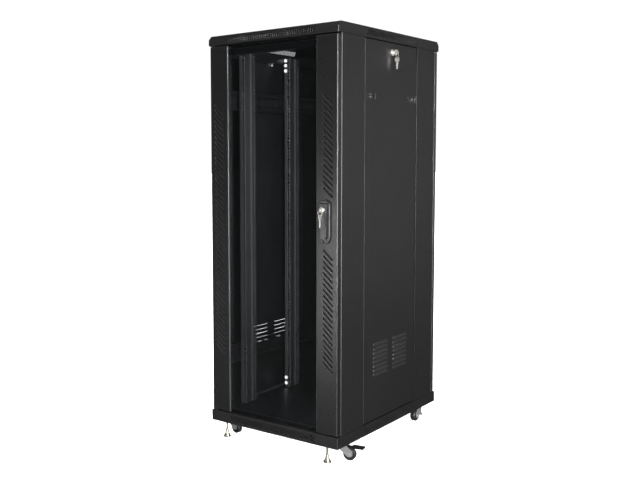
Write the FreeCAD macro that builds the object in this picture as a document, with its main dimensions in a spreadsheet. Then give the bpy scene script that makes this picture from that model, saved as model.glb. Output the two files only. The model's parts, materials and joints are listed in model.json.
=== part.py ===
import FreeCAD, Part
import math
import os
import re

import Sketcher
from FreeCAD import Placement, Rotation, Vector

# A free-standing 19-inch network rack cabinet, 32 rack units tall, 600 x 800 mm in plan.
# Frame: origin on the floor under the centre of the plan, +Z up, front towards -Y.
# All sizes are millimetres.

DOC = FreeCAD.newDocument("RackCabinet")

# ---------------------------------------------------------------- driving dimensions
SIZES = {
    # overall plan and levels
    "cab_wide": 600, "cab_deep": 800, "base_low": 65, "base_top": 108,
    "frame_top": 1572, "lip_top": 1593, "cab_top": 1611, "sheet": 2, "cover_sheet": 1.5,
    "base_wall": 45, "edge_round": 4,
    # corner posts
    "post_side": 296, "post_front": 369, "post_inner": 209, "post_flange": 44,
    "post_return": 24, "seat_depth": 28, "return_top": 1532,
    # roof ring
    "ring_half_x": 280, "ring_beam": 40, "ring_side": 26, "ring_low": 1534,
    # vents of the base and the cover
    "vent_half": 195, "vent_pitch": 10, "vent_slot": 5, "vent_lean": 30, "roof_slope": 18,
    # floor and roof plates
    "deck_hole_x": 220, "deck_hole_y": 310, "cable_hole_x": 150, "cable_hole_y0": 215, "cable_hole_y1": 300,
    "corner_plate_x": 100, "corner_plate_y": 120, "corner_plate_t": 3,
    "fan_hole": 130, "roof_cable_y0": 230, "roof_cable_y1": 320, "fan_plate_half": 150,
    # 19-inch rails
    "unit": 44.45, "unit_count": 32, "rail_low": 114, "rail_top": 1556, "hole_low": 125,
    "rail_hole_x": 232.5, "rail_clear": 225.2, "rail_flange": 26.8, "rail_web": 70, "bead_start": 14,
    "bead_end": 46, "bead_deep": 4.5, "strip_y": 58, "rail_hole": 9.5, "rail_small_hole": 7,
    "front_rail_y": -264, "rear_rail_y": 52,
    # brackets and end clips of the rails
    "bracket_t": 3, "bracket_reach": 34, "bracket_lap": 13, "clip_tall": 62, "rail_bolt_x": 245,
    "rail_bolt_hex": 13, "small_hex": 8, "bolt_tall": 4,
    # depth braces
    "brace_x": 268, "brace_tall": 76, "brace_half_y": 345, "low_brace": 286, "high_brace": 1324,
    "brace_lip": 10,
    # side panels
    "panel_face": 294.5, "panel_half_y": 206.5, "panel_low": 111, "panel_top": 1569, "panel_edge": 13,
    "louvre_inner": 25, "louvre_wide": 108, "louvre_low": 286, "louvre_pitch": 17.2, "louvre_count": 8,
    "louvre_tall": 5, "louvre_hood": 4, "louvre_sheet": 1.2,
    "latch_y": 163, "latch_z": 1359, "latch_long": 66, "latch_tall": 22, "lock_z": 1533, "lock_bore": 9.6,
    # doors
    "door_half_x": 295, "door_low": 113, "door_top": 1566, "door_face": 396, "door_back": 373,
    "strip_inner": 206, "strip_step": 18, "pane_half": 222, "pane_front": 389, "pane_thick": 4,
    "door_rail": 12, "tie_deep": 4,
    "pivot_x": 287, "pivot_y": 383, "pivot_r": 4, "pivot_play": 0.1, "pivot_block": 14,
    "slash_long": 54, "slash_wide": 5, "slash_pitch": 20.8, "slash_left": 250.5, "slash_right": 254.5,
    "slash_angle": 41.8,
    # swing handle
    "handle_x": 245, "plate_wide": 45, "plate_tall": 161, "plate_z": 898.5, "plate_front": 405,
    "lever_wide": 27, "lever_low": 836, "lever_top": 966, "lever_back": 405.4, "lever_thick": 8.1,
    "spindle_z": 957, "spindle_disc": 18, "spindle_r": 5, "pivot_pin_r": 2, "lever_pivot_z": 961.95,
    "cylinder_z": 943, "cylinder_r": 7,
    # keys
    "key_bow": 10, "key_thick": 2, "key_hole": 3, "key_reach": 18, "ring_r": 9.5, "ring_wire": 0.9,
    "blade_long": 26, "blade_wide": 7,
    # castors and feet
    "castor_x": 266, "castor_y": 310, "castor_trail": 30, "wheel_r": 24, "wheel_wide": 20,
    "axle_z": 24.6, "axle_r": 4, "fork_gap": 12, "fork_thick": 2, "fork_top": 55.2, "race_low": 55.6,
    "race_r": 18, "plate_half": 28, "kingpin_r": 4, "front_left_turn": -10, "front_right_turn": 12,
    "rear_turn": -90, "pedal_end": 86, "pedal_start": 40, "pedal_half": 13, "pedal_low": 50.2, "pedal_top": 57.5,
    "foot_x": 240, "foot_y": 374, "foot_r": 15, "stud_r": 4, "stud_top": 100, "foot_tall": 30,
}

SHEET = DOC.addObject("Spreadsheet::Sheet", "Sizes")
for row, (alias, value) in enumerate(SIZES.items(), start=1):
    SHEET.set(f"A{row}", alias)
    SHEET.set(f"B{row}", str(value))
    SHEET.setAlias(f"B{row}", alias)
DOC.recompute()


def size(alias):
    return float(SHEET.get(alias))


def bound(text):
    """The expression text with every alias read from the sheet."""
    return re.sub(r"[a-z]\w*", lambda m: f"Sizes.{m.group()}" if m.group() in SIZES else m.group(), text)


def bind(obj, **expressions):
    for prop, text in expressions.items():
        obj.setExpression(prop.replace("__", "."), bound(str(text)))
    return obj


def place(obj, x="0", y="0", z="0"):
    return bind(obj, Placement__Base__x=x, Placement__Base__y=y, Placement__Base__z=z)


def box(name, x0, x1, y0, y1, z0, z1):
    """A box between two corners, each an expression on the sheet."""
    obj = DOC.addObject("Part::Box", name)
    bind(obj, Length=f"({x1}) - ({x0})", Width=f"({y1}) - ({y0})", Height=f"({z1}) - ({z0})")
    return place(obj, x0, y0, z0)


def fuse(name, parts):
    obj = DOC.addObject("Part::MultiFuse", name)
    obj.Shapes = parts
    obj.Refine = True
    return obj


def cut(name, base, tool):
    obj = DOC.addObject("Part::Cut", name)
    obj.Base = base
    obj.Tool = tool
    return obj


def feature(name, shape, placement=None):
    """A shape made with Part's functions from sizes of the sheet."""
    obj = DOC.addObject("Part::Feature", name)
    obj.Shape = shape
    obj.Placement = placement or Placement()
    return obj


def block(x0, x1, y0, y1, z0, z1):
    """A plain box shape for the cutting tools, with its corners in any order."""
    low = Vector(min(x0, x1), min(y0, y1), min(z0, z1))
    return Part.makeBox(abs(x1 - x0), abs(y1 - y0), abs(z1 - z0), low)


def rounding(x, y, z0, z1):
    """A tool that rounds the upright outer corner at a point, on its side away from the middle."""
    radius = size("edge_round")
    out_x, out_y = math.copysign(1, x), math.copysign(1, y)
    centre = Vector(x - out_x * radius, y - out_y * radius, z0 - 1)
    corner = block(centre.x, x + out_x, centre.y, y + out_y, z0 - 1, z1 + 1)
    return corner.cut(Part.makeCylinder(radius, z1 - z0 + 2, centre))


def group(name, shapes):
    """Separate solids that share one node, such as a set of equal fasteners."""
    return feature(name, Part.makeCompound(shapes))


def steps(count, pitch, centre=0.0):
    """Centres of equal steps about a centre."""
    return [centre + (i - (count - 1) / 2) * pitch for i in range(count)]


# ---------------------------------------------------------------- the PartDesign helpers
def body(name):
    return DOC.addObject("PartDesign::Body", name)


def sketch_on(owner, name, plane, offset="0"):
    """A sketch on one of the body's own origin planes, moved along its normal."""
    sketch = owner.newObject("Sketcher::SketchObject", name)
    face = next(f for f in owner.Origin.OriginFeatures if f.Role == plane)
    sketch.AttachmentSupport = [(face, "")]
    sketch.MapMode = "FlatFace"
    sketch.setExpression("AttachmentOffset.Base.z", bound(offset))
    return sketch


def name_last(sketch, name, expression):
    sketch.renameConstraint(sketch.ConstraintCount - 1, name)
    sketch.setExpression(f"Constraints.{name}", bound(expression))


def add_outline(sketch, name, points):
    """A closed outline of straight lines whose corners follow the sheet."""
    count = len(points)
    guess = [Vector(10 * math.cos(6.2832 * i / count), 10 * math.sin(6.2832 * i / count), 0) for i in range(count)]
    first = sketch.GeometryCount
    for i in range(count):
        sketch.addGeometry(Part.LineSegment(guess[i], guess[(i + 1) % count]), False)
    for i in range(count):
        sketch.addConstraint(Sketcher.Constraint("Coincident", first + i, 2, first + (i + 1) % count, 1))
    for i, (x, y) in enumerate(points):
        sketch.addConstraint(Sketcher.Constraint("DistanceX", -1, 1, first + i, 1, guess[i].x))
        name_last(sketch, f"{name}_x{i}", x)
        sketch.addConstraint(Sketcher.Constraint("DistanceY", -1, 1, first + i, 1, guess[i].y))
        name_last(sketch, f"{name}_y{i}", y)


def revolve(owner, name, sketch):
    """A full turn of a sketch about its own vertical axis."""
    result = owner.newObject("PartDesign::Revolution", name)
    result.Profile = sketch
    result.ReferenceAxis = (sketch, ["V_Axis"])
    result.Angle = 360
    return result


NODES = []


def node(obj, label):
    """Marks a finished object as a piece of the cabinet, under its own name."""
    obj.Label = label
    NODES.append(obj)
    return obj


# ---------------------------------------------------------------- base, floor and roof
def corners():
    return [(sx, sy) for sy in (-1, 1) for sx in (-1, 1)]


def vent_tools(z0, z1, side_z0, side_z1, lean):
    """Cutting tools for the slots round a skirt: upright at front and rear, at the sides leaning or upright."""
    half_x, half_y = size("cab_wide") / 2, size("cab_deep") / 2
    half, slot, pitch = size("vent_half"), size("vent_slot"), size("vent_pitch")
    front_deep, side_deep = 30, 10
    tools = []
    for along in steps(int(2 * half / pitch) + 1, pitch):
        for sign in (-1, 1):
            tools.append(block(along - slot / 2, along + slot / 2, sign * (half_y + 1),
                               sign * (half_y - front_deep), z0, z1))
            tool = block(sign * (half_x + 1), sign * (half_x - side_deep), along - slot / 2, along + slot / 2,
                         side_z0, side_z1)
            tool.rotate(Vector(0, along, (side_z0 + side_z1) / 2), Vector(1, 0, 0), -lean)
            tools.append(tool)
    return tools


def make_base():
    skirt = cut("BaseSkirt",
                box("BaseOuter", "-cab_wide/2", "cab_wide/2", "-cab_deep/2", "cab_deep/2", "base_low", "base_top"),
                box("BaseHollow", "sheet - cab_wide/2", "cab_wide/2 - sheet", "sheet - cab_deep/2",
                    "cab_deep/2 - sheet", "base_low - 1", "base_top - sheet"))
    plates = []
    for i, (sx, sy) in enumerate(corners()):
        x0, x1 = ("cab_wide/2 - sheet - corner_plate_x", "cab_wide/2 - sheet")
        y0, y1 = ("cab_deep/2 - sheet - corner_plate_y", "cab_deep/2 - sheet")
        if sx < 0:
            x0, x1 = f"-({x1})", f"-({x0})"
        if sy < 0:
            y0, y1 = f"-({y1})", f"-({y0})"
        plates.append(box(f"BaseCorner{i}", x0, x1, y0, y1, "base_low", "base_low + corner_plate_t"))
    beams = fuse("BaseBeams", [
        box("BaseWall", "base_wall - cab_wide/2", "cab_wide/2 - base_wall", "base_wall - cab_deep/2",
            "cab_deep/2 - base_wall", "base_low", "base_top - sheet"),
        box("BaseLip", "sheet - cab_wide/2", "cab_wide/2 - sheet", "sheet - cab_deep/2", "cab_deep/2 - sheet",
            "base_low", "base_low + sheet")])
    well = box("BaseWell", "base_wall + sheet - cab_wide/2", "cab_wide/2 - base_wall - sheet",
               "base_wall + sheet - cab_deep/2", "cab_deep/2 - base_wall - sheet", "base_low - 1", "base_top")
    shell = fuse("BaseShell", [skirt, cut("BaseWalls", beams, well)] + plates)
    slot_low, slot_high = size("base_low") + 9, size("base_top") - 8
    tools = vent_tools(slot_low, slot_high, slot_low, slot_high, 0)
    tools += [rounding(sx * size("cab_wide") / 2, sy * size("cab_deep") / 2, size("base_low"), size("base_top"))
              for sx, sy in corners()]
    tools.append(block(-size("deck_hole_x"), size("deck_hole_x"), -size("deck_hole_y"), size("deck_hole_y"),
                       size("base_top") - 5, size("base_top") + 1))
    for sx, sy in corners():
        stud = Vector(sx * size("foot_x"), sy * size("foot_y"), size("base_low") - 1)
        tools.append(Part.makeCylinder(size("stud_r") + 0.1, size("corner_plate_t") + 2, stud))
        if sx == sy:
            pivot = Vector(sx * size("pivot_x"), sy * size("pivot_y"), size("base_top") - 5)
            tools.append(Part.makeCylinder(size("pivot_r") + 0.6, 10, pivot))
    node(cut("BaseFrame", shell, group("BaseTools", tools)), "base_frame")

    floor = box("FloorPlate", "-deck_hole_x - 12", "deck_hole_x + 12", "-deck_hole_y - 12", "deck_hole_y + 12",
                "base_top", "base_top + sheet")
    hole = box("FloorCableHole", "-cable_hole_x", "cable_hole_x", "cable_hole_y0", "cable_hole_y1",
               "base_top - 1", "base_top + sheet + 1")
    node(cut("FloorPanel", floor, hole), "floor_panel")


def tapered_roof(name, inset):
    """The cover's outer or inner form: an upright lip, then faces that slope in at front and rear."""
    lip = box(f"{name}Lip", f"{inset} - cab_wide/2", f"cab_wide/2 - {inset}", f"{inset} - cab_deep/2",
              f"cab_deep/2 - {inset}", "frame_top", "lip_top")
    top = DOC.addObject("Part::Wedge", f"{name}Slope")
    top.Placement = Placement(Vector(), Rotation(Vector(1, 0, 0), 90))
    bind(top, Xmin=f"{inset} - cab_wide/2", Xmax=f"cab_wide/2 - {inset}", X2min=f"{inset} - cab_wide/2",
         X2max=f"cab_wide/2 - {inset}", Ymin="0", Ymax=f"cab_top - lip_top - {inset}",
         Zmin=f"{inset} - cab_deep/2", Zmax=f"cab_deep/2 - {inset}",
         Z2min=f"{inset} - cab_deep/2 + roof_slope", Z2max=f"cab_deep/2 - {inset} - roof_slope")
    place(top, z="lip_top")
    return fuse(name, [lip, top])


def make_roof():
    outer = tapered_roof("CoverOuter", "0")
    inner = tapered_roof("CoverInner", "cover_sheet")
    shell = cut("CoverShell", outer, inner)
    flange = cut("CoverFlange",
                 box("FlangePlate", "cover_sheet - cab_wide/2", "cab_wide/2 - cover_sheet",
                     "cover_sheet - cab_deep/2", "cab_deep/2 - cover_sheet", "frame_top", "frame_top + cover_sheet"),
                 box("FlangeHole", "ring_side - ring_half_x", "ring_half_x - ring_side",
                     "ring_beam - post_front + sheet", "post_front - sheet - ring_beam", "frame_top - 1",
                     "frame_top + 5"))
    body_of_cover = fuse("CoverBody", [shell, flange])
    top = size("cab_top")
    low = size("frame_top")
    tools = vent_tools(low + 6, top - 5, low + 7, top - 7, size("vent_lean"))
    tools += [rounding(sx * size("cab_wide") / 2, sy * size("cab_deep") / 2, low, top) for sx, sy in corners()]
    tools.append(block(-size("fan_hole"), size("fan_hole"), -size("fan_hole"), size("fan_hole"), top - 5, top + 1))
    tools.append(block(-size("cable_hole_x"), size("cable_hole_x"), size("roof_cable_y0"), size("roof_cable_y1"),
                       top - 5, top + 1))
    node(cut("TopCover", body_of_cover, group("CoverTools", tools)), "top_cover")

    node(box("RoofBlankPlate", "-fan_plate_half", "fan_plate_half", "-fan_plate_half", "fan_plate_half",
             "cab_top - 2*cover_sheet", "cab_top - cover_sheet"), "roof_blank_plate")

    ring = cut("RingBlank",
               box("RingOuter", "-ring_half_x", "ring_half_x", "sheet - post_front", "post_front - sheet",
                   "ring_low", "frame_top"),
               box("RingHole", "ring_side - ring_half_x", "ring_half_x - ring_side",
                   "sheet + ring_beam - post_front", "post_front - sheet - ring_beam", "ring_low - 1",
                   "frame_top + 1"))
    hollow = cut("RingHollow",
                 box("RingHollowOuter", "sheet - ring_half_x", "ring_half_x - sheet", "2*sheet - post_front",
                     "post_front - 2*sheet", "ring_low + sheet", "frame_top - sheet"),
                 box("RingHollowInner", "ring_side - sheet - ring_half_x", "ring_half_x - ring_side + sheet",
                     "ring_beam - post_front", "post_front - ring_beam", "ring_low", "frame_top"))
    node(cut("TopFrame", ring, hollow), "top_frame")


# ---------------------------------------------------------------- posts, rails and braces
def mirrored_span(sign, low, high):
    """The span low..high, or its mirror image below zero."""
    return (low, high) if sign > 0 else (f"-({high})", f"-({low})")


def make_post(name, sx, sy):
    """A wide folded corner post: side wall, face flange, and returns that stiffen its two edges."""
    def wall(tag, x0, x1, y0, y1, z1):
        return box(f"{name}_{tag}", *mirrored_span(sx, x0, x1), *mirrored_span(sy, y0, y1), "base_top", z1)

    walls = [
        wall("side", "post_side - sheet", "post_side", "post_inner", "post_front", "frame_top"),
        wall("face", "post_side - post_flange", "post_side", "post_front - sheet", "post_front", "frame_top"),
        wall("face_return", "post_side - post_flange", "post_side - post_flange + sheet",
             "post_front - post_return", "post_front", "return_top"),
        wall("seat", "post_side - seat_depth", "post_side", "post_inner", "post_inner + sheet", "return_top"),
    ]
    corner = rounding(sx * size("post_side"), sy * size("post_front"), size("base_top"), size("frame_top"))
    tool = feature(f"{name}_rounding", corner)
    node(cut(name.title().replace("_", ""), fuse(f"{name}_walls", walls), tool), name)


def rail_section(sx):
    """Corner points of the rail's folded section: the mounting flange, then a web with a stiffening bead."""
    t, inner = size("sheet"), size("rail_clear")
    outer, web, deep = inner + size("rail_flange"), size("rail_web"), size("bead_deep")
    start, end = size("bead_start"), size("bead_end")
    nip = t * math.tan(math.radians(22.5))
    outline = [
        (inner, 0), (outer, 0), (outer, t), (inner + t, t), (inner + t, start - nip),
        (inner + t + deep, start - nip + deep), (inner + t + deep, end + nip - deep), (inner + t, end + nip),
        (inner + t, web), (inner, web), (inner, end), (inner + deep, end - deep), (inner + deep, start + deep),
        (inner, start),
    ]
    return [Vector(sx * x, y, 0) for x, y in outline]


def make_rail(name, sx, front_y):
    """A 19-inch rail: square holes in the flange by the rack-unit spacing, a row of small ones in the web."""
    points = rail_section(sx)
    face = Part.Face(Part.makePolygon(points + [points[0]]))
    profile = feature(f"{name}_profile", face.extrude(Vector(0, 0, size("rail_top") - size("rail_low"))))
    half, small, clear = size("rail_hole") / 2, size("rail_small_hole") / 2, size("rail_clear")
    centre = sx * size("rail_hole_x")
    strip_y = size("strip_y")
    tools = []
    for unit in range(int(size("unit_count"))):
        for offset in (6.35, 22.225, 38.1):
            z = size("hole_low") - size("rail_low") + unit * size("unit") + offset
            tools.append(block(centre - half, centre + half, -1, size("sheet") + 1, z - half, z + half))
            tools.append(block(sx * (clear - 1), sx * (clear + size("sheet") + 1), strip_y - small, strip_y + small,
                               z - small, z + small))
    rail = cut(name.title().replace("_", ""), profile, group(f"{name}_holes", tools))
    rail.Placement = Placement()
    place(rail, y=front_y, z="rail_low")
    node(rail, name)


def make_brace(name, sx, low):
    """A depth brace: an upright plate with two folded lips, slotted for moving the rails."""
    plate = box(f"{name}_plate", *mirrored_span(sx, "brace_x - sheet", "brace_x"), "-brace_half_y", "brace_half_y",
                low, f"{low} + brace_tall")
    lips = []
    for tag, z0 in (("low", low), ("high", f"{low} + brace_tall - sheet")):
        lips.append(box(f"{name}_{tag}", *mirrored_span(sx, "brace_x - brace_lip", "brace_x"), "-brace_half_y",
                        "brace_half_y", z0, f"{z0} + sheet"))
    middle = size("low_brace" if "lower" in name else "high_brace") + size("brace_tall") / 2
    reach = size("brace_x")
    slots = [block(sx * (reach - 6), sx * (reach + 1), y - 15, y + 15, middle + dz - 4, middle + dz + 4)
             for y in steps(14, 46) for dz in (-18, 18)]
    shell = fuse(f"{name}_shell", [plate] + lips)
    node(cut(name.title().replace("_", ""), shell, group(f"{name}_slots", slots)), name)


def rail_rows():
    """Every crossing of a rail and a brace: side, rail face, brace foot."""
    return [(sx, size(rail), size(low)) for sx in (-1, 1) for rail in ("front_rail_y", "rear_rail_y")
            for low in ("low_brace", "high_brace")]


def make_rail_brackets():
    """Angle brackets that carry the rails on the braces, and clips at the rails' two ends."""
    t, reach = size("bracket_t"), size("bracket_reach")
    outer = size("rail_clear") + size("rail_flange")
    arm_x = outer - size("bracket_lap")
    brackets = []
    for sx, rail_y, low in rail_rows():
        z0, z1 = low + 14, low + size("brace_tall") - 14
        brace_x = size("brace_x") - size("sheet")
        back = rail_y + size("sheet")
        arm = block(sx * arm_x, sx * brace_x, back, back + t, z0, z1)
        foot = block(sx * (brace_x - t), sx * brace_x, back, back + reach, z0, z1)
        brackets.append(arm.fuse(foot).removeSplitter())
    ring_x, top, bottom = size("ring_half_x") - size("ring_side"), size("rail_top"), size("base_top")
    for sx in (-1, 1):
        for rail_y in (size("front_rail_y"), size("rear_rail_y")):
            back = rail_y + size("sheet")
            high_arm = block(sx * arm_x, sx * ring_x, back, back + t, top - size("clip_tall"), top + t)
            cap = block(sx * (size("rail_clear") + 1), sx * ring_x, rail_y, back + reach, top, top + t)
            brackets.append(high_arm.fuse(cap).removeSplitter())
            low_arm = block(sx * arm_x, sx * (outer + 6), back, back + t, bottom, bottom + size("clip_tall"))
            sole = block(sx * arm_x, sx * (outer + 6), back, back + reach, bottom, bottom + t)
            brackets.append(low_arm.fuse(sole).removeSplitter())
    node(group("RailBrackets", brackets), "rail_brackets")


def hex_prism(across, tall, centre, axis):
    """A hexagon head or nut, standing on a point along an axis."""
    radius = across / math.sqrt(3)
    ring = [Vector(radius * math.cos(math.radians(60 * i)), radius * math.sin(math.radians(60 * i)), 0)
            for i in range(7)]
    prism = Part.Face(Part.makePolygon(ring)).extrude(Vector(0, 0, tall))
    prism.Placement = Placement(centre, Rotation(Vector(0, 0, 1), axis))
    return prism


def make_fasteners():
    """Hexagon bolt heads of the brackets and castor plates, and the lock nuts of the levelling feet."""
    pieces = []
    for sx, rail_y, low in rail_rows():
        for z in (low + 26, low + size("brace_tall") - 26):
            face = Vector(sx * (size("brace_x") - size("sheet") - size("bracket_t")), rail_y + 24, z)
            pieces.append(hex_prism(10, size("bolt_tall"), face, Vector(-sx, 0, 0)))
    for sx in (-1, 1):
        for z in (130, 155, 1505, 1527, 1548):
            face = Vector(sx * size("rail_bolt_x"), size("rear_rail_y"), z)
            pieces.append(hex_prism(size("rail_bolt_hex"), size("bolt_tall"), face, Vector(0, -1, 0)))
    for sx, sy in corners():
        for dx in (-22, 22):
            for dy in (-22, 22):
                face = Vector(sx * size("castor_x") + dx, sy * size("castor_y") + dy, size("base_low") + 3)
                pieces.append(hex_prism(size("small_hex"), size("bolt_tall"), face, Vector(0, 0, 1)))
        nut_face = Vector(sx * size("foot_x"), sy * size("foot_y"), size("base_low") - 6.5)
        nut = hex_prism(13, 6.5, nut_face, Vector(0, 0, 1))
        pieces.append(nut.cut(Part.makeCylinder(size("stud_r") + 0.1, 9, nut_face - Vector(0, 0, 1))))
    node(group("Fasteners", pieces), "fasteners")


def make_hinge_brackets():
    """Eye plates that hold the door pivots, two for each door, at the foot and the head of a post."""
    plates = []
    for sign in (-1, 1):
        for z0 in (size("base_top"), size("frame_top") - 4):
            y0, y1 = sign * (size("door_face") - 2), sign * size("post_front")
            plate = block(sign * size("door_half_x"), sign * (size("pivot_x") - 14), y0, y1, z0, z0 + 3)
            eye = Vector(sign * size("pivot_x"), sign * size("pivot_y"), z0 - 1)
            plates.append(plate.cut(Part.makeCylinder(size("pivot_r") + size("pivot_play"), 5, eye)))
    node(group("HingeBrackets", plates), "hinge_brackets")


# ---------------------------------------------------------------- side panels
def latch_box(sx, sy):
    """Middle of a slide latch on a side panel."""
    return sx * size("panel_face"), sy * size("latch_y"), size("latch_z")


def louvre(sx, y0, y1, z):
    """One pressed louvre: a sloping hood over its slot, closed at both ends and open below."""
    face, hood, t = size("panel_face"), size("louvre_hood"), size("louvre_sheet")
    half = size("louvre_tall") / 2

    def wedge(top, low, reach, inset):
        outline = [Vector(sx * (face + x), y0 + inset, height)
                   for x, height in ((-1, top), (0, top), (reach, low), (-1, low), (-1, top))]
        return Part.Face(Part.makePolygon(outline)).extrude(Vector(0, y1 - y0 - 2 * inset, 0))

    return wedge(z + half + t * 2, z - half, hood, 0).cut(wedge(z + half, z - half - 1, hood - t, t))


def make_side_panel(name, sx):
    """A lift-off side panel: a folded tray with two columns of louvres, latch openings and a lock hole."""
    title = name.title().replace("_", "")
    skin = box(f"{name}_skin", *mirrored_span(sx, "panel_face - sheet", "panel_face"), "-panel_half_y",
               "panel_half_y", "panel_low", "panel_top")
    edges = []
    for tag, y0, y1, z0, z1 in (
            ("front", "-panel_half_y", "sheet - panel_half_y", "panel_low", "panel_top"),
            ("rear", "panel_half_y - sheet", "panel_half_y", "panel_low", "panel_top"),
            ("foot", "-panel_half_y", "panel_half_y", "panel_low", "panel_low + sheet"),
            ("head", "-panel_half_y", "panel_half_y", "panel_top - sheet", "panel_top")):
        edges.append(box(f"{name}_{tag}", *mirrored_span(sx, "panel_face - panel_edge", "panel_face"),
                         y0, y1, z0, z1))
    face, t = size("panel_face"), size("louvre_sheet")
    half = size("louvre_tall") / 2
    hoods, tools = [], []
    for row in range(int(size("louvre_count"))):
        z = size("louvre_low") + row * size("louvre_pitch")
        for sy in (-1, 1):
            y0, y1 = sorted((sy * size("louvre_inner"), sy * (size("louvre_inner") + size("louvre_wide"))))
            tools.append(block(sx * (face - 4), sx * face, y0 + t, y1 - t, z - half, z + half))
            hoods.append(louvre(sx, y0, y1, z))
    tools += [rounding(sx * face, sy * size("panel_half_y"), size("panel_low"), size("panel_top")) for sy in (-1, 1)]
    for sy in (-1, 1):
        _, y, z = latch_box(sx, sy)
        tools.append(block(sx * (face - 4), sx * (face + 1), y - size("latch_long") / 2, y + size("latch_long") / 2,
                           z - size("latch_tall") / 2, z + size("latch_tall") / 2))
    lock_hole = Part.makeCylinder(size("lock_bore"), 12, Vector(sx * (face - 6), 0, size("lock_z")),
                                  Vector(sx, 0, 0))
    tools.append(lock_hole)
    shell = fuse(f"{name}_shell", [skin] + edges + [feature(f"{name}_hoods", Part.makeCompound(hoods))])
    node(cut(title, shell, group(f"{name}_tools", tools)), name)


def make_slide_latch(name, sx, sy):
    """A slide latch: a carrier plate behind the skin with a finger grip in the opening and a bolt tongue."""
    face = size("panel_face")
    _, y, z = latch_box(sx, sy)
    back = face - size("sheet") - 0.4
    half = size("latch_long") / 2
    plate = block(sx * (back - 3), sx * back, y - sy * (half - 8), y + sy * (half + 4), z - 14, z + 14)
    grip = block(sx * (back - 1), sx * (face + 0.5), y - sy * 2, y + sy * 12, z - 8, z + 8)
    ridges = [block(sx * face, sx * (face + 2), y + sy * dy, y + sy * (dy + 2), z - 8, z + 8) for dy in (-1, 4, 9)]
    shape = plate.fuse([grip] + ridges).removeSplitter()
    node(feature(name.title().replace("_", ""), shape), name)


def make_panel_lock(name, sx):
    """A cam lock of a side panel: flanged barrel with a flat cam behind the skin."""
    face, z = size("panel_face"), size("lock_z")
    out = Vector(sx, 0, 0)
    flange = Part.makeCylinder(12, 3.2, Vector(sx * (face + 0.3), 0, z), out)
    barrel = Part.makeCylinder(size("lock_bore") - 0.1, 14, Vector(sx * (face - 13.2), 0, z), out)
    cam = block(sx * (face - 13.2), sx * (face - 10.7), -8, 8, z - 9, z + 27)
    node(feature(name.title().replace("_", ""), flange.fuse([barrel, cam]).removeSplitter()), name)


# ---------------------------------------------------------------- keys
def key_shape(hanging):
    """A flat key in the X-Z plane. Inserted: the blade is at -X and the bow out at +X. Hanging: the bow is up
    and the blade points down. The bow's ring hole is at the origin."""
    thick, bow, hole = size("key_thick"), size("key_bow"), size("key_hole")
    reach = bow - hole - 2
    away = Vector(0, 0, -reach) if hanging else Vector(-reach, 0, 0)
    disc = Part.makeCylinder(bow, thick, away - Vector(0, thick / 2, 0), Vector(0, 1, 0))
    half = size("blade_wide") / 2
    if hanging:
        blade = block(-half, half, -thick / 2, thick / 2, -reach - bow + 2, -reach - bow - size("blade_long"))
        bits = [block(half - 1.5, half + 1, -2, 2, z - 1.5, z + 1.5)
                for z in (-reach - bow - 10, -reach - bow - 17, -reach - bow - 23)]
        for bit in bits:
            blade = blade.cut(bit)
    else:
        blade = block(-size("key_reach"), -reach, -thick / 2, thick / 2, -half, half)
    eye = Part.makeCylinder(hole, 2 * thick, Vector(0, -thick, 0), Vector(0, 1, 0))
    return disc.fuse(blade).cut(eye).removeSplitter()


def make_key_set(prefix, hole, out_turn):
    """A key in its lock, a wire ring through its bow, and a spare key on the ring."""
    turn = Rotation(Vector(0, 0, 1), out_turn)
    key = feature(f"{prefix}Key", key_shape(False), Placement(hole, turn))
    node(key, f"{prefix}_key")
    drop = size("key_hole") - size("ring_wire") - 0.4
    radius = size("ring_r")
    ring = DOC.addObject("Part::Torus", f"{prefix}Ring")
    bind(ring, Radius1="ring_r", Radius2="ring_wire")
    centre = hole - Vector(0, 0, drop + radius)
    ring.Placement = Placement(centre, turn.multiply(Rotation(Vector(0, 1, 0), 90)))
    node(ring, f"{prefix}_key_ring")
    spare_hole = centre - Vector(0, 0, radius + drop)
    spare = feature(f"{prefix}Spare", key_shape(True), Placement(spare_hole, turn))
    node(spare, f"{prefix}_spare_key")


# ---------------------------------------------------------------- doors
def slash_tools(x, runs):
    """Leaning slots down a door strip."""
    long, wide = size("slash_long"), size("slash_wide")
    tools = []
    for count, middle in runs:
        for z in steps(count, size("slash_pitch"), middle):
            tool = block(x - long / 2, x + long / 2, -size("door_face") - 1, -size("door_face") + 6,
                         z - wide / 2, z + wide / 2)
            tool.rotate(Vector(x, 0, z), Vector(0, 1, 0), size("slash_angle"))
            tools.append(tool)
    return tools


def door_strip(name, sx):
    """One folded steel strip of the front door, with closed ends."""
    face, skin_back, back = "-door_face", "sheet - door_face", "-door_back"
    span = [
        ("skin", "strip_inner", "door_half_x", face, skin_back, "door_low", "door_top"),
        ("edge", "door_half_x - sheet", "door_half_x", face, back, "door_low", "door_top"),
        ("bead", "strip_inner", "strip_inner + sheet", face, "-pane_front", "door_low", "door_top"),
        ("foot", "strip_inner + strip_step", "door_half_x", face, back, "door_low", "door_low + sheet"),
        ("head", "strip_inner + strip_step", "door_half_x", face, back, "door_top - sheet", "door_top"),
    ]
    return [box(f"{name}_{tag}", *mirrored_span(sx, x0, x1), y0, y1, z0, z1) for tag, x0, x1, y0, y1, z0, z1 in span]


def pivot_blocks(name, sign):
    """Blocks inside a door's hinge edge that hold its pivot pins."""
    x0, x1 = mirrored_span(sign, "pivot_x - pivot_block/2", "door_half_x - sheet")
    y0, y1 = mirrored_span(sign, "door_back + 3", "door_face - sheet")
    return [box(f"{name}_block{i}", x0, x1, y0, y1, z0, z1) for i, (z0, z1) in enumerate((
        ("door_low + sheet", "door_low + 24"), ("door_top - 24", "door_top - sheet")))]


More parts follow.
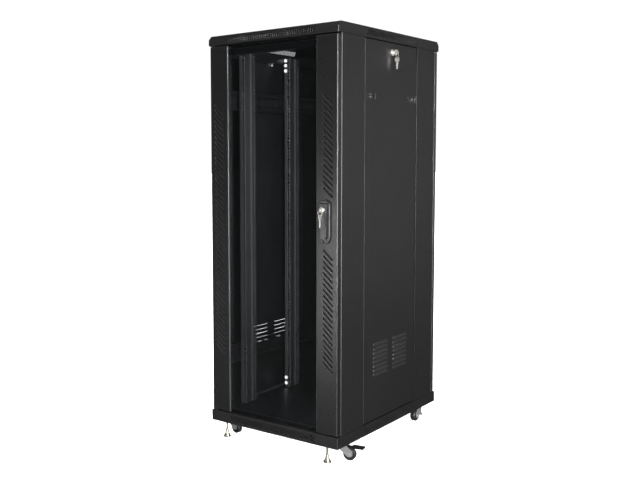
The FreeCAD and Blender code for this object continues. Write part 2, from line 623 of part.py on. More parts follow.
def pivot_pins(name, sign, label):
    """The two upright pivot pins of a door."""
    x, y = sign * size("pivot_x"), sign * size("pivot_y")
    low = Part.makeCylinder(size("pivot_r"), size("door_low") + 24 - 102, Vector(x, y, 102))
    high_foot = size("door_top") - 24
    high = Part.makeCylinder(size("pivot_r"), size("frame_top") - 1 - high_foot, Vector(x, y, high_foot))
    node(group(name, [low, high]), label)
    return [low, high]


def make_front_door():
    pins = pivot_pins("FrontHingePins", -1, "front_hinge_pins")
    rails = [box(f"door_rail{i}", "-strip_inner - 16", "strip_inner + 16", "-(pane_front - pane_thick)",
                 "-door_back", z0, z1) for i, (z0, z1) in enumerate((
                     ("door_low", "door_low + door_rail"), ("door_top - door_rail", "door_top")))]
    ties = []
    for sx in (-1, 1):
        for i, (z0, z1) in enumerate((("door_low", "door_low + door_rail"), ("door_top - door_rail", "door_top"))):
            ties.append(box(f"door_tie{i}_{sx + 1}", *mirrored_span(sx, "strip_inner + 16", "door_half_x"),
                            "-door_back - tie_deep", "-door_back", z0, z1))
    frame = fuse("DoorShell", door_strip("left_strip", -1) + door_strip("right_strip", 1) + rails + ties
                 + pivot_blocks("front_pivot", -1))
    tools = slash_tools(-size("slash_left"), [(47, 844)]) + slash_tools(size("slash_right"), [(17, 1171), (21, 570)])
    shaft = Vector(size("handle_x"), -size("door_face") - 1, size("spindle_z"))
    tools.append(Part.makeCylinder(size("spindle_r") + 0.1, 8, shaft, Vector(0, 1, 0)))
    tools += [rounding(sx * size("door_half_x"), -size("door_face"), size("door_low"), size("door_top"))
              for sx in (-1, 1)]
    node(cut("FrontDoorFrame", frame, group("FrontDoorTools", tools + pins)), "front_door_frame")

    node(box("FrontDoorGlass", "-pane_half", "pane_half", "-pane_front", "pane_thick - pane_front",
             "door_low + 1", "door_top - 1"), "front_door_glass")
    seals = [block(sx * (size("strip_inner") + 2), sx * size("pane_half"), -size("pane_front"),
                   size("sheet") - size("door_face"), size("door_low") + 2, size("door_top") - 2) for sx in (-1, 1)]
    node(group("GlassSeal", seals), "glass_seal")


def make_rear_door():
    """The rear door: a folded steel tray with vent slots at head and foot."""
    pins = pivot_pins("RearHingePins", 1, "rear_hinge_pins")
    tray = cut("RearTray",
               box("RearOuter", "-door_half_x", "door_half_x", "door_back", "door_face", "door_low", "door_top"),
               box("RearHollow", "sheet - door_half_x", "door_half_x - sheet", "door_back - 1", "door_face - sheet",
                   "door_low + sheet", "door_top - sheet"))
    shell = fuse("RearShell", [tray] + pivot_blocks("rear_pivot", 1))
    face = size("door_face")
    tools = [block(x0, x0 + 90, face - 5, face + 1, z - 2.5, z + 2.5)
             for x0 in (-205, -100, 10, 115) for z in steps(10, 16, 300) + steps(10, 16, 1380)]
    barrel = Vector(-size("handle_x"), face - 6, 840)
    tools.append(Part.makeCylinder(size("lock_bore"), 8, barrel, Vector(0, 1, 0)))
    tools += [rounding(sx * size("door_half_x"), face, size("door_low"), size("door_top")) for sx in (-1, 1)]
    node(cut("RearDoor", shell, group("RearDoorTools", tools + pins)), "rear_door")

    out = Vector(0, 1, 0)
    spot = Vector(-size("handle_x"), 0, 840)
    flange = Part.makeCylinder(12, 3.2, spot + Vector(0, face + 0.3, 0), out)
    shaft = Part.makeCylinder(size("lock_bore") - 0.1, face + 1 - 369.6, spot + Vector(0, 369.6, 0), out)
    cam = block(spot.x - 36, spot.x + 8, 369.6, 372.4, spot.z - 8, spot.z + 8)
    node(feature("RearDoorLock", flange.fuse([shaft, cam]).removeSplitter()), "rear_door_lock")


# ---------------------------------------------------------------- swing handle
def stadium(wide, z0, z1, y_front, thick, x):
    """A flat plate with round ends, standing upright, its front face at -y_front."""
    radius = wide / 2
    plate = block(x - radius, x + radius, -y_front, thick - y_front, z0 + radius, z1 - radius)
    for z in (z0 + radius, z1 - radius):
        plate = plate.fuse(Part.makeCylinder(radius, thick, Vector(x, -y_front, z), Vector(0, 1, 0)))
    return plate.removeSplitter()


def make_handle():
    x, z_mid = size("handle_x"), size("plate_z")
    front, face = size("plate_front"), size("door_face")
    low, high = z_mid - size("plate_tall") / 2, z_mid + size("plate_tall") / 2
    plate = stadium(size("plate_wide"), low, high, front, front - face, x)
    rim = [edge for edge in plate.Edges if abs(edge.BoundBox.YMin + front) < 0.01 and edge.BoundBox.YLength < 0.01]
    plate = plate.makeFillet(2.5, rim)
    spindle = Vector(x, -front - 1, size("spindle_z"))
    out = Vector(0, 1, 0)
    plate = plate.cut(Part.makeCylinder(size("spindle_disc") + 0.4, 6, spindle, out))
    plate = plate.cut(Part.makeCylinder(size("spindle_r") + 0.1, 20, spindle, out))
    finger = stadium(24, low + 5, low + 30, front + 1, 7, x)
    node(feature("HandleHousing", plate.cut(finger)), "handle_housing")

    lever_front = size("lever_back") + size("lever_thick")
    lever = stadium(size("lever_wide"), size("lever_low"), size("lever_top") + 6, lever_front, size("lever_thick"), x)
    half = size("lever_thick") / 2
    mid_y = -size("lever_back") - half
    pivot_z = size("lever_pivot_z")
    head = Part.makeCylinder(half, 60, Vector(x - 30, mid_y, pivot_z), Vector(1, 0, 0))
    keep = block(x - 30, x + 30, mid_y - half, mid_y + half, size("lever_low") - 1, pivot_z).fuse(head)
    lever = lever.common(keep)
    lever = lever.cut(Part.makeCylinder(size("pivot_pin_r") + 0.1, 60, Vector(x - 30, mid_y, pivot_z),
                                        Vector(1, 0, 0)))
    bore = Vector(x, -lever_front - 1, size("cylinder_z"))
    lever = lever.cut(Part.makeCylinder(size("cylinder_r") + 0.1, 7.6, bore, out))
    node(feature("HandleLever", lever.removeSplitter()), "handle_lever")

    disc = Part.makeCylinder(size("spindle_disc"), 5, Vector(x, -front, size("spindle_z")), out)
    shaft = Part.makeCylinder(size("spindle_r"), front - 369.6, Vector(x, -front, size("spindle_z")), out)
    half_lever = size("lever_wide") / 2
    ears = [block(x + s * (half_lever + 0.4), x + s * (half_lever + 2.9), mid_y - 3.4, -front + 1, pivot_z - 8,
                  pivot_z + 4) for s in (-1, 1)]
    within = Part.makeCylinder(size("spindle_disc"), 12, Vector(x, mid_y - 5, size("spindle_z")), out)
    ears = [ear.common(within) for ear in ears]
    pin_start = Vector(x - size("lever_wide") / 2 - 2, mid_y, pivot_z)
    pin = Part.makeCylinder(size("pivot_pin_r"), size("lever_wide") + 4, pin_start, Vector(1, 0, 0))
    cam = block(x - 8, x + 30, -372.6, -369.6, size("spindle_z") - 8, size("spindle_z") + 8)
    node(feature("HandleSpindle", disc.fuse([shaft, pin, cam] + ears).removeSplitter()), "handle_spindle")

    cylinder = Part.makeCylinder(size("cylinder_r"), 8, Vector(x, -lever_front - 1.5, size("cylinder_z")), out)
    node(feature("HandleLock", cylinder), "handle_lock")
    key_hole = Vector(x, -lever_front - 1.5 - size("key_reach"), size("cylinder_z"))
    make_key_set("handle", key_hole, -90)


# ---------------------------------------------------------------- castors and feet
def castor_seats():
    """Name, swivel axis and resting turn of each castor."""
    seats = []
    for side, sx in (("left", -1), ("right", 1)):
        seats.append((f"front_{side}", sx, -1, size(f"front_{side}_turn")))
        seats.append((f"rear_{side}", sx, 1, size("rear_turn")))
    return seats


def make_castor_plates():
    """Fixed castor tops: a square plate with the swivel race and a hole for the king pin."""
    plates = []
    half, low, under = size("plate_half"), size("race_low"), size("base_low")
    for sx, sy in corners():
        x, y = sx * size("castor_x"), sy * size("castor_y")
        plate = block(x - half, x + half, y - half, y + half, under - 2.5, under)
        race = Part.makeCylinder(size("race_r"), under - 2.5 - low, Vector(x, y, low))
        hole = Part.makeCylinder(size("kingpin_r") + 0.1, 20, Vector(x, y, low - 1))
        plates.append(plate.fuse(race).cut(hole).removeSplitter())
    node(group("CastorPlates", plates), "castor_plates")


def seat_placement(sx, sy, turn):
    centre = Vector(sx * size("castor_x"), sy * size("castor_y"), 0)
    return Placement(centre, Rotation(Vector(0, 0, 1), turn))


def make_fork(name, placement):
    """A pressed fork with two legs, its axle and its king pin."""
    trail, top = size("castor_trail"), size("fork_top")
    gap, t = size("fork_gap"), size("fork_thick")
    disc = Part.makeCylinder(17, t, Vector(0, 0, top - t))
    bridge = block(-6, 17, -gap - t, gap + t, top - t, top)
    legs = []
    for sy in (-1, 1):
        y0 = gap if sy > 0 else -gap - t
        outline = [Vector(-8, y0, top), Vector(20, y0, top), Vector(trail + 14, y0, size("axle_z") + 12),
                   Vector(trail + 13, y0, size("axle_z") - 4), Vector(trail + 5, y0, size("axle_z") - 9),
                   Vector(trail - 6, y0, size("axle_z") - 9), Vector(-8, y0, top - 14), Vector(-8, y0, top)]
        legs.append(Part.Face(Part.makePolygon(outline)).extrude(Vector(0, t, 0)))
    axle = Part.makeCylinder(size("axle_r"), 2 * (gap + t) + 4, Vector(trail, -gap - t - 2, size("axle_z")),
                             Vector(0, 1, 0))
    king = Part.makeCylinder(size("kingpin_r"), size("base_low") - 2 - top, Vector(0, 0, top - 0.5))
    shape = disc.fuse([bridge, axle, king] + legs).removeSplitter()
    node(feature(name.title().replace("_", ""), shape, placement), name)


def make_wheel(name, placement):
    """A castor wheel turned about its axle: a round-shouldered tread on a hub."""
    owner = body(name.title().replace("_", ""))
    profile = sketch_on(owner, f"{name}_profile", "XY_Plane")
    add_outline(profile, "tread", [
        ("axle_r + 0.1", "-wheel_wide/2"), ("9", "-wheel_wide/2"), ("10", "3 - wheel_wide/2"),
        ("17", "3 - wheel_wide/2"), ("18", "-wheel_wide/2"), ("wheel_r - 2", "-wheel_wide/2"),
        ("wheel_r", "2.5 - wheel_wide/2"), ("wheel_r", "wheel_wide/2 - 2.5"), ("wheel_r - 2", "wheel_wide/2"),
        ("18", "wheel_wide/2"), ("17", "wheel_wide/2 - 3"), ("10", "wheel_wide/2 - 3"), ("9", "wheel_wide/2"),
        ("axle_r + 0.1", "wheel_wide/2")])
    revolve(owner, f"{name}_turned", profile)
    owner.Placement = placement.multiply(Placement(Vector(size("castor_trail"), 0, size("axle_z")), Rotation()))
    node(owner, name)


def make_brake(name, placement):
    """A brake pedal that rocks over the wheel."""
    start, half, low, top = size("pedal_start"), size("pedal_half"), size("pedal_low"), size("pedal_top")
    neck_half = size("fork_gap") - 0.4
    neck = block(18, start + 2, -neck_half, neck_half, 50.6, 53)
    tread = block(start, size("pedal_end"), -half, half, low, top)
    rim = [edge for edge in tread.Edges if edge.BoundBox.YLength > half and edge.BoundBox.XMin > start + 1]
    tread = tread.makeFillet(2.5, rim)
    grooves = [block(x, x + 2, -half - 1, half + 1, top - 1.2, top + 1) for x in (56, 63, 70, 77)]
    hub = Part.makeCylinder(1.6, 2 * neck_half, Vector(19, -neck_half, 51.2), Vector(0, 1, 0))
    shape = tread.cut(Part.makeCompound(grooves)).fuse([neck, hub]).removeSplitter()
    node(feature(name.title().replace("_", ""), shape, placement), name)


def make_foot(name, sx, sy):
    """A levelling foot turned about its stud: a bell-shaped pad and a threaded stud."""
    owner = body(name.title().replace("_", ""))
    profile = sketch_on(owner, f"{name}_profile", "XZ_Plane")
    add_outline(profile, "bell", [
        ("0", "0"), ("foot_r", "0"), ("foot_r", "4"), ("foot_r - 2", "4.5"), ("foot_r - 3", "8"),
        ("foot_r - 5", "9"), ("foot_r - 8", "foot_tall - 10"), ("stud_r + 1.2", "foot_tall"),
        ("stud_r", "foot_tall + 1"), ("stud_r", "stud_top"), ("0", "stud_top")])
    revolve(owner, f"{name}_turned", profile)
    owner.Placement = Placement(Vector(sx * size("foot_x"), sy * size("foot_y"), 0), Rotation())
    node(owner, name)


# ---------------------------------------------------------------- the whole cabinet
def make_cabinet():
    make_base()
    make_roof()
    for end, sy in (("front", -1), ("rear", 1)):
        for side, sx in (("left", -1), ("right", 1)):
            make_post(f"{end}_{side}_post", sx, sy)
            make_rail(f"{end}_{side}_rail", sx, f"{end}_rail_y")
            make_foot(f"{end}_{side}_foot", sx, sy)
    for side, sx in (("left", -1), ("right", 1)):
        make_brace(f"lower_{side}_brace", sx, "low_brace")
        make_brace(f"upper_{side}_brace", sx, "high_brace")
        make_side_panel(f"{side}_side_panel", sx)
        make_panel_lock(f"{side}_panel_lock", sx)
        make_slide_latch(f"{side}_front_latch", sx, -1)
        make_slide_latch(f"{side}_rear_latch", sx, 1)
    make_rail_brackets()
    make_fasteners()
    make_hinge_brackets()
    lock_face = size("panel_face") + 3.5
    make_key_set("panel", Vector(lock_face + size("key_reach"), 0, size("lock_z")), 0)
    make_front_door()
    make_handle()
    make_rear_door()
    make_castor_plates()
    for name, sx, sy, turn in castor_seats():
        placement = seat_placement(sx, sy, turn)
        make_fork(f"{name}_castor_fork", placement)
        make_wheel(f"{name}_castor_wheel", placement)
        if sy < 0:
            make_brake(f"{name}_castor_brake", placement)


make_cabinet()
DOC.recompute()

for obj in DOC.Objects:
    if "Invalid" in obj.State or "Error" in obj.State:
        raise RuntimeError(f"{obj.Label} failed to build: {obj.State}")
for piece in NODES:
    if piece.Shape.isNull() or not piece.Shape.isValid():
        raise RuntimeError(f"{piece.Label} has no valid shape")

os.makedirs("parts", exist_ok=True)
for piece in NODES:
    piece.Shape.exportStep(os.path.join("parts", f"{piece.Label}.step"))
print(f"{len(NODES)} pieces written")
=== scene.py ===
"""Materials, lamps and camera for a 19-inch rack cabinet on castors and levelling feet."""
import json
import math

import bmesh
import bpy
from mathutils import Matrix, Vector

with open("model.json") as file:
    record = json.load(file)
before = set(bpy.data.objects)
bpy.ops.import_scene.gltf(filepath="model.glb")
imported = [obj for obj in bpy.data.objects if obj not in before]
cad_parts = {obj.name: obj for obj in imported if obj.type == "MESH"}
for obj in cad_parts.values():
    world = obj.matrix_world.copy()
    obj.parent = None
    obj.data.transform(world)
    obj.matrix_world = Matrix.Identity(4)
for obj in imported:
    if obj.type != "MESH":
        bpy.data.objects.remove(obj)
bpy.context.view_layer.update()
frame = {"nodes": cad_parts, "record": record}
NODES = frame["nodes"]
SCENE = bpy.context.scene


# ---------------------------------------------------------------- node helpers
EDGE_SAMPLES = 6                  # rays of the bevel node that finds the edges
OFF_EDGE, ON_EDGE = 0.995, 0.80   # cosine between the rounded and the true normal
UPRIGHT, LEVEL = 0.05, 0.5        # how far an upright and a level edge's rounded normal points up
LEVEL_SHARE = 0.2                 # how strongly a level edge counts against an upright one


class Shader:
    """A material's node tree, and short ways to add nodes to it."""

    def __init__(self, name):
        self.material = bpy.data.materials.new(name)
        self.material.use_nodes = True
        self.nodes = self.material.node_tree.nodes
        self.links = self.material.node_tree.links
        self.nodes.clear()
        self.output = self.nodes.new("ShaderNodeOutputMaterial")
        self.coords = self.nodes.new("ShaderNodeTexCoord").outputs["Object"]

    def add(self, kind, inputs=None, **settings):
        node = self.nodes.new(kind)
        for key, value in settings.items():
            setattr(node, key, value)
        for key, value in (inputs or {}).items():
            self.feed(node, key, value)
        return node

    def feed(self, node, key, value):
        """Link a socket to an input, or set the input's own value."""
        if isinstance(value, bpy.types.NodeSocket):
            self.links.new(value, node.inputs[key])
        else:
            node.inputs[key].default_value = value

    def show(self, shader):
        """Send a shader node to the output, and return the finished material."""
        self.links.new(shader.outputs[0], self.output.inputs[0])
        return self.material

    def noise(self, scale, detail=2.0, roughness=0.5, stretch=None):
        vector = self.coords
        if stretch:
            vector = self.add("ShaderNodeMapping", {"Vector": vector, "Scale": stretch}).outputs[0]
        inputs = {"Vector": vector, "Scale": scale, "Detail": detail, "Roughness": roughness}
        return self.add("ShaderNodeTexNoise", inputs).outputs["Fac"]

    def cells(self, scale, feature="F1"):
        node = self.add("ShaderNodeTexVoronoi", {"Vector": self.coords, "Scale": scale}, feature=feature)
        return node.outputs["Distance"]

    def remap(self, value, low, high, to_low=0.0, to_high=1.0):
        inputs = {"Value": value, "From Min": low, "From Max": high, "To Min": to_low, "To Max": to_high}
        return self.add("ShaderNodeMapRange", inputs).outputs[0]

    def math(self, operation, a, b=0.0):
        return self.add("ShaderNodeMath", {0: a, 1: b}, operation=operation).outputs[0]

    def blend(self, factor, a, b):
        """Mix two colours, each a socket or three numbers."""
        node = self.add("ShaderNodeMix", {0: factor}, data_type="RGBA")
        for key, value in ((6, a), (7, b)):
            self.feed(node, key, value if isinstance(value, bpy.types.NodeSocket) else (*value, 1.0))
        return node.outputs[2]

    def bump(self, height, distance, strength, normal=None):
        inputs = {"Height": height, "Distance": distance, "Strength": strength}
        if normal is not None:
            inputs["Normal"] = normal
        return self.add("ShaderNodeBump", inputs).outputs[0]

    def edges(self, radius):
        """Rounded normal, and how strongly a point lies on a sharp edge, from 0 to 1, upright edges most."""
        rounded = self.add("ShaderNodeBevel", {"Radius": radius}, samples=EDGE_SAMPLES).outputs[0]
        flat = self.add("ShaderNodeNewGeometry").outputs["Normal"]
        cosine = self.add("ShaderNodeVectorMath", {0: rounded, 1: flat}, operation="DOT_PRODUCT")
        on_edge = self.remap(cosine.outputs["Value"], OFF_EDGE, ON_EDGE)
        parts = self.add("ShaderNodeSeparateXYZ", {0: rounded})
        weight = self.remap(self.math("ABSOLUTE", parts.outputs["Z"]), UPRIGHT, LEVEL, 1.0, LEVEL_SHARE)
        return rounded, self.math("MULTIPLY", on_edge, weight)

    def surface(self, **inputs):
        """Finish with a Principled shader, whose inputs are named with _ for each space."""
        named = {key.replace("_", " "): value for key, value in inputs.items()}
        return self.show(self.add("ShaderNodeBsdfPrincipled", named))


def shade(colour, factor):
    return tuple(c * factor for c in colour)


# ---------------------------------------------------------------- materials
# Noise scales are cycles per metre, and bump distances and edge radii are metres.
DUST = (0.10, 0.098, 0.094)
SCUFFED_TREAD = (0.17, 0.165, 0.155)
FRESH_RUBBER = (0.012, 0.012, 0.012)
BLOOMED_RUBBER = (0.026, 0.026, 0.027)
GLASS_TINT = (0.80, 0.82, 0.83, 1.0)
GLASS_MIRROR = (0.9, 0.92, 0.93, 1.0)
GLASS_IOR = 1.45


def powder_coat(name, colour, rough=0.44, edge=0.0016, painted_highlight=5.0):
    """Satin powder coat: pebbled skin, uneven gloss, faint mottling, slightly glossier edges and a painted
    highlight on the edges.

    edge is the rounded edge's radius, and the last argument is how bright the painted edge highlight is
    against the colour.
    """
    s = Shader(name)
    rounded, on_edge = s.edges(edge)
    pebble = s.noise(900.0, detail=3.0, roughness=0.6)
    peel = s.noise(95.0, detail=1.0)
    mottle = s.remap(s.noise(3.2, detail=4.0, roughness=0.55), 0.3, 0.7)
    dust = s.remap(s.noise(38.0, detail=5.0, roughness=0.7), 0.55, 0.8)
    base = s.blend(mottle, shade(colour, 0.88), shade(colour, 1.14))
    base = s.blend(s.math("MULTIPLY", dust, 0.10), base, DUST)
    # Painted highlight: the colour is lightened along edges, upright ones most, where a lamp would glint.
    base = s.blend(s.math("MULTIPLY", on_edge, 0.5), base, shade(colour, painted_highlight))
    gloss = s.remap(s.noise(160.0), 0.3, 0.7, rough - 0.05, rough + 0.06)
    gloss = s.math("SUBTRACT", gloss, s.math("MULTIPLY", on_edge, 0.16))
    normal = s.bump(peel, distance=0.0004, strength=0.10, normal=rounded)
    normal = s.bump(pebble, distance=0.00012, strength=0.55, normal=normal)
    return s.surface(Base_Color=base, Roughness=gloss, Normal=normal, Specular_IOR_Level=0.5)


def zinc_plate(name, colour, tint, rough, metal):
    """Zinc plated steel: cloudy passivation tints, fine drawn lines and worn edges."""
    s = Shader(name)
    rounded, on_edge = s.edges(0.0004)
    cloud = s.remap(s.noise(85.0, detail=4.0, roughness=0.6), 0.35, 0.65)
    lines = s.noise(420.0, roughness=0.6)
    pits = s.cells(1500.0)
    base = s.blend(cloud, colour, tint)
    base = s.blend(s.math("MULTIPLY", on_edge, 0.5), base, shade(colour, 1.2))
    gloss = s.remap(lines, 0.2, 0.8, rough - 0.08, rough + 0.10)
    gloss = s.math("ADD", gloss, s.math("MULTIPLY", cloud, 0.05))
    normal = s.bump(lines, distance=0.00006, strength=0.35, normal=rounded)
    normal = s.bump(pits, distance=0.00004, strength=0.25, normal=normal)
    return s.surface(Base_Color=base, Roughness=gloss, Metallic=metal, Normal=normal)


def moulded(name, colour, rough):
    """Injection-moulded plastic: spark-eroded grain, flow mottling, glossier rubbed edges and a painted
    highlight on the edges.
    """
    s = Shader(name)
    rounded, on_edge = s.edges(0.0008)
    grain = s.cells(1400.0, feature="SMOOTH_F1")
    flow = s.remap(s.noise(22.0, detail=3.0, stretch=(1.0, 1.0, 0.3)), 0.35, 0.65)
    base = s.blend(flow, shade(colour, 0.9), shade(colour, 1.15))
    # Painted highlight: the colour is lightened fourfold along edges, upright ones most, where a lamp would
    # glint.
    base = s.blend(s.math("MULTIPLY", on_edge, 0.6), base, shade(colour, 4.0))
    gloss = s.remap(s.noise(240.0), 0.3, 0.7, rough - 0.06, rough + 0.07)
    gloss = s.math("SUBTRACT", gloss, s.math("MULTIPLY", on_edge, 0.12))
    normal = s.bump(grain, distance=0.0001, strength=0.4, normal=rounded)
    return s.surface(Base_Color=base, Roughness=gloss, Normal=normal, Specular_IOR_Level=0.5)


def wheel_rubber(name, colour):
    """Castor wheel: grey moulded polymer with scuffs and floor dust."""
    s = Shader(name)
    rounded, _ = s.edges(0.0006)
    scuff = s.remap(s.noise(260.0, detail=5.0, roughness=0.75, stretch=(1.0, 1.0, 2.0)), 0.5, 0.75)
    base = s.blend(s.math("MULTIPLY", scuff, 0.35), colour, SCUFFED_TREAD)
    gloss = s.remap(scuff, 0.0, 1.0, 0.45, 0.68)
    normal = s.bump(s.noise(700.0, detail=3.0), distance=0.0001, strength=0.5, normal=rounded)
    return s.surface(Base_Color=base, Roughness=gloss, Normal=normal)


def seal_rubber(name):
    """Black foam strip: fine pores, with a paler bloom in patches."""
    s = Shader(name)
    pores = s.noise(1300.0, detail=3.0, roughness=0.6)
    bloom = s.remap(s.noise(60.0, detail=4.0, roughness=0.6), 0.4, 0.7)
    base = s.blend(bloom, FRESH_RUBBER, BLOOMED_RUBBER)
    gloss = s.remap(bloom, 0.0, 1.0, 0.62, 0.8)
    normal = s.bump(pores, distance=0.0001, strength=0.5)
    return s.surface(Base_Color=base, Roughness=gloss, Normal=normal)


def tinted_glass(name):
    """Lightly tinted toughened glass: clear through, mirror-like at a slant, with faint smears."""
    s = Shader(name)
    clear = s.add("ShaderNodeBsdfTransparent", {"Color": GLASS_TINT})
    streaks = s.noise(7.0, detail=5.0, roughness=0.65, stretch=(1.0, 1.0, 0.35))
    smear = s.remap(streaks, 0.45, 0.75, 0.012, 0.05)
    wave = s.bump(s.noise(2.2, detail=1.0), distance=0.0006, strength=0.12)
    mirror = s.add("ShaderNodeBsdfAnisotropic", {"Color": GLASS_MIRROR, "Roughness": smear, "Normal": wave})
    fresnel = s.add("ShaderNodeFresnel", {"IOR": GLASS_IOR, "Normal": wave}).outputs[0]
    return s.show(s.add("ShaderNodeMixShader", {0: fresnel, 1: clear.outputs[0], 2: mirror.outputs[0]}))


MATERIALS = {
    # A powder coat's last number is the strength of its painted edge highlight.
    "powder_coat": powder_coat("powder_coat", (0.0190, 0.0190, 0.0200)),
    "rail_coat": powder_coat("rail_coat", (0.040, 0.040, 0.041), rough=0.34, edge=0.0025, painted_highlight=10.0),
    "door_coat": powder_coat("door_coat", (0.0200, 0.0200, 0.0210), rough=0.32, edge=0.004, painted_highlight=36.0),
    "side_coat": powder_coat("side_coat", (0.0200, 0.0200, 0.0210), rough=0.44, edge=0.0035, painted_highlight=24.0),
    "zinc": zinc_plate("zinc", (0.95, 0.95, 0.94), (0.88, 0.89, 0.90), rough=0.42, metal=0.1),
    "tinted_glass": tinted_glass("tinted_glass"),
    "seal_rubber": seal_rubber("seal_rubber"),
    "handle_plastic": moulded("handle_plastic", (0.050, 0.050, 0.054), rough=0.28),
    "latch_plastic": moulded("latch_plastic", (0.018, 0.018, 0.019), rough=0.22),
    "lock_metal": zinc_plate("lock_metal", (0.92, 0.91, 0.88), (0.84, 0.83, 0.80), rough=0.24, metal=0.5),
    "key_metal": zinc_plate("key_metal", (0.95, 0.93, 0.87), (0.86, 0.83, 0.75), rough=0.20, metal=0.7),
    "foot_zinc": zinc_plate("foot_zinc", (0.34, 0.32, 0.28), (0.27, 0.25, 0.20), rough=0.36, metal=1.0),
    "castor_zinc": zinc_plate("castor_zinc", (0.70, 0.70, 0.69), (0.60, 0.61, 0.62), rough=0.30, metal=0.45),
    "castor_wheel": wheel_rubber("castor_wheel", (0.040, 0.041, 0.045)),
    "brake_steel": powder_coat("brake_steel", (0.016, 0.016, 0.017), rough=0.40, edge=0.0006),
}

for row in frame["record"]["subparts"]:
    slots = NODES[row["node"]].data.materials
    slots.clear()
    slots.append(MATERIALS[row["material_slot"]])


# ---------------------------------------------------------------- floor and background
FLOOR_HALF = 60.0
FLOOR_PAPER = ((0.88, 0.88, 0.88), (0.90, 0.90, 0.90))
FLOOR_BOUNCE = (0.014, 0.014, 0.014, 1.0)
SKY_SEEN = ((1.0, 1.0, 1.0, 1.0), 1.05)         # colour and strength
SKY_FILL = ((0.98, 0.99, 1.0, 1.0), 0.045)


def make_floor():
    """White paper to the camera, but dark to the cabinet, whose black sheets aren't lit from below."""
    mesh = bpy.data.meshes.new("floor")
    builder = bmesh.new()
    bmesh.ops.create_grid(builder, x_segments=1, y_segments=1, size=FLOOR_HALF)
    builder.to_mesh(mesh)
    builder.free()
    plane = bpy.data.objects.new("floor", mesh)
    SCENE.collection.objects.link(plane)
    s = Shader("floor_white")
    paper = s.add("ShaderNodeBsdfDiffuse", {"Color": s.blend(s.noise(0.8), *FLOOR_PAPER)})
    dark = s.add("ShaderNodeBsdfDiffuse", {"Color": FLOOR_BOUNCE})
    seen = s.add("ShaderNodeLightPath").outputs["Is Camera Ray"]
    mix = s.add("ShaderNodeMixShader", {0: seen, 1: dark.outputs[0], 2: paper.outputs[0]})
    mesh.materials.append(s.show(mix))
    return plane


def make_world():
    """White behind the cabinet, and a weak fill on it."""
    world = bpy.data.worlds.new("studio")
    world.use_nodes = True
    tree = world.node_tree
    tree.nodes.clear()
    mix = tree.nodes.new("ShaderNodeMixShader")
    for socket, (colour, strength) in ((mix.inputs[1], SKY_FILL), (mix.inputs[2], SKY_SEEN)):
        sky = tree.nodes.new("ShaderNodeBackground")
        sky.inputs["Color"].default_value = colour
        sky.inputs["Strength"].default_value = strength
        tree.links.new(sky.outputs[0], socket)
    path = tree.nodes.new("ShaderNodeLightPath")
    tree.links.new(path.outputs["Is Camera Ray"], mix.inputs[0])
    out = tree.nodes.new("ShaderNodeOutputWorld")
    tree.links.new(mix.outputs[0], out.inputs[0])
    SCENE.world = world


# ---------------------------------------------------------------- camera
CAMERA_PLACE = (1.8951, -2.97896, 1.13271)
CAMERA_YAW = 0.6887               # radians, turned left from facing the front door
CAMERA_PITCH = 0.0818             # radians, downwards
CAMERA_ROLL = -0.0081             # radians
SENSOR_WIDTH = 36.0               # millimetres, as is the focal length
FOCAL_LENGTH = 47.50
CAMERA_SHIFT = (0.1501, -0.0204)
CLIP_RANGE = (0.05, 60.0)


def make_camera():
    """The photograph's view, from the front right and a little over a metre up."""
    level = math.cos(CAMERA_PITCH)
    forward = Vector((-math.sin(CAMERA_YAW) * level, math.cos(CAMERA_YAW) * level, -math.sin(CAMERA_PITCH)))
    right = Vector((math.cos(CAMERA_YAW), math.sin(CAMERA_YAW), 0.0))
    up = right.cross(forward)
    tilted_right = math.cos(CAMERA_ROLL) * right + math.sin(CAMERA_ROLL) * up
    tilted_up = math.cos(CAMERA_ROLL) * up - math.sin(CAMERA_ROLL) * right
    turn = Matrix((tilted_right, tilted_up, -forward)).transposed()
    data = bpy.data.cameras.new("camera")
    data.sensor_fit = "HORIZONTAL"
    data.sensor_width = SENSOR_WIDTH
    data.lens = FOCAL_LENGTH
    data.shift_x, data.shift_y = CAMERA_SHIFT
    data.clip_start, data.clip_end = CLIP_RANGE
    camera = bpy.data.objects.new("camera", data)
    camera.matrix_world = Matrix.Translation(CAMERA_PLACE) @ turn.to_4x4()
    SCENE.collection.objects.link(camera)
    SCENE.camera = camera


# ---------------------------------------------------------------- lamps
MIDDLE = (0.0, 0.0, 0.85)         # just above the cabinet's middle, where most softboxes point


def hang_lamp(data, travel, place=(0.0, 0.0, 0.0)):
    """Put a lamp at a place, with its light going in the direction of travel."""
    lamp = bpy.data.objects.new(data.name, data)
    lamp.location = place
    lamp.rotation_euler = Vector(travel).to_track_quat("-Z", "Y").to_euler()
    SCENE.collection.objects.link(lamp)
    return lamp


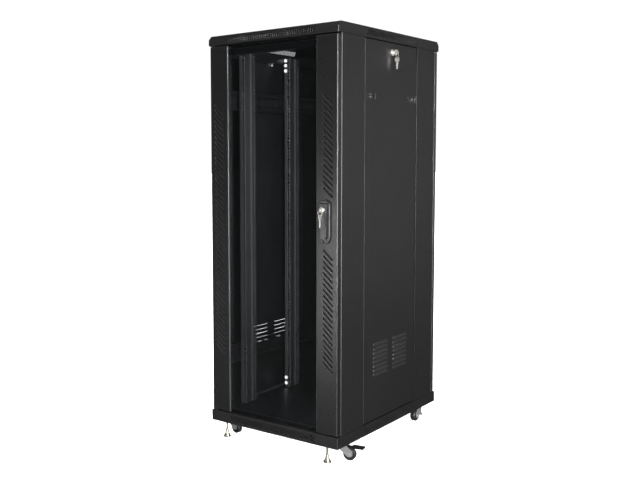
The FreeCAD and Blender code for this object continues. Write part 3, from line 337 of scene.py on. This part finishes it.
def far_lamp(name, travel, strength, angle, only=()):
    """A very distant lamp, which lights a tall face evenly from head to foot. Its angle is in radians.

    Where only holds objects, the light falls on those alone and is shaded by those alone.
    """
    data = bpy.data.lights.new(name, "SUN")
    data.energy = strength
    data.angle = angle
    lamp = hang_lamp(data, travel)
    if only:
        group = bpy.data.collections.new(name)
        for target in only:
            group.objects.link(target)
        lamp.light_linking.receiver_collection = group
        lamp.light_linking.blocker_collection = group


def softbox(name, place, size, power, target=MIDDLE, lights=True, mirrored=True):
    """A rectangular lamp aimed at a target, which lights surfaces, is mirrored in them, or both."""
    data = bpy.data.lights.new(name, "AREA")
    data.shape = "RECTANGLE"
    data.size, data.size_y = size
    data.energy = power
    lamp = hang_lamp(data, Vector(target) - Vector(place), place)
    lamp.visible_camera = False
    lamp.visible_diffuse = lights
    lamp.visible_glossy = mirrored


# ---------------------------------------------------------------- the stage
rails = [obj for name, obj in NODES.items() if name.endswith("_rail")]

floor = make_floor()
make_world()
make_camera()
far_lamp("floor_wash", (0.1, -0.1, -1.0), strength=12.0, angle=1.4, only=[floor])
far_lamp("bolt_lamp", (-0.4, 0.9, -0.1), strength=8.0, angle=0.2, only=[NODES["fasteners"]])
far_lamp("rail_lamp", (-0.30, 0.90, -0.2), strength=3.0, angle=0.1, only=rails)
softbox("left_box", place=(-2.6, -2.6, 4.2), size=(2.6, 1.6), power=12.0)
softbox("right_box", place=(3.0, 3.6, 1.2), size=(2.4, 2.4), power=9.5)
softbox("back_box", place=(-2.6, 3.4, 2.0), size=(3.0, 3.0), power=90.0)
softbox("top_box", place=(0.3, -0.3, 4.4), size=(2.4, 2.4), power=18.0)
softbox("edge_box", place=(3.3, -2.5, 0.8), size=(0.5, 2.6), power=130.0)
softbox("strip_box", place=(-0.6, -2.2, 0.45), size=(0.25, 0.9), power=11.0, target=(0.25, -0.4, 0.5))
softbox("rim_box", place=(3.3, -2.5, 0.9), size=(1.2, 3.0), power=450.0, lights=False)
far_lamp("side_lamp", (-0.90, 0.36, -0.18), strength=0.55, angle=0.5)
softbox("inside_box", place=(0.14, -0.35, 0.86), size=(0.10, 1.35), power=4.5, target=(-0.30, 0.0, 0.80),
        mirrored=False)
SCENE.view_settings.view_transform = "Standard"
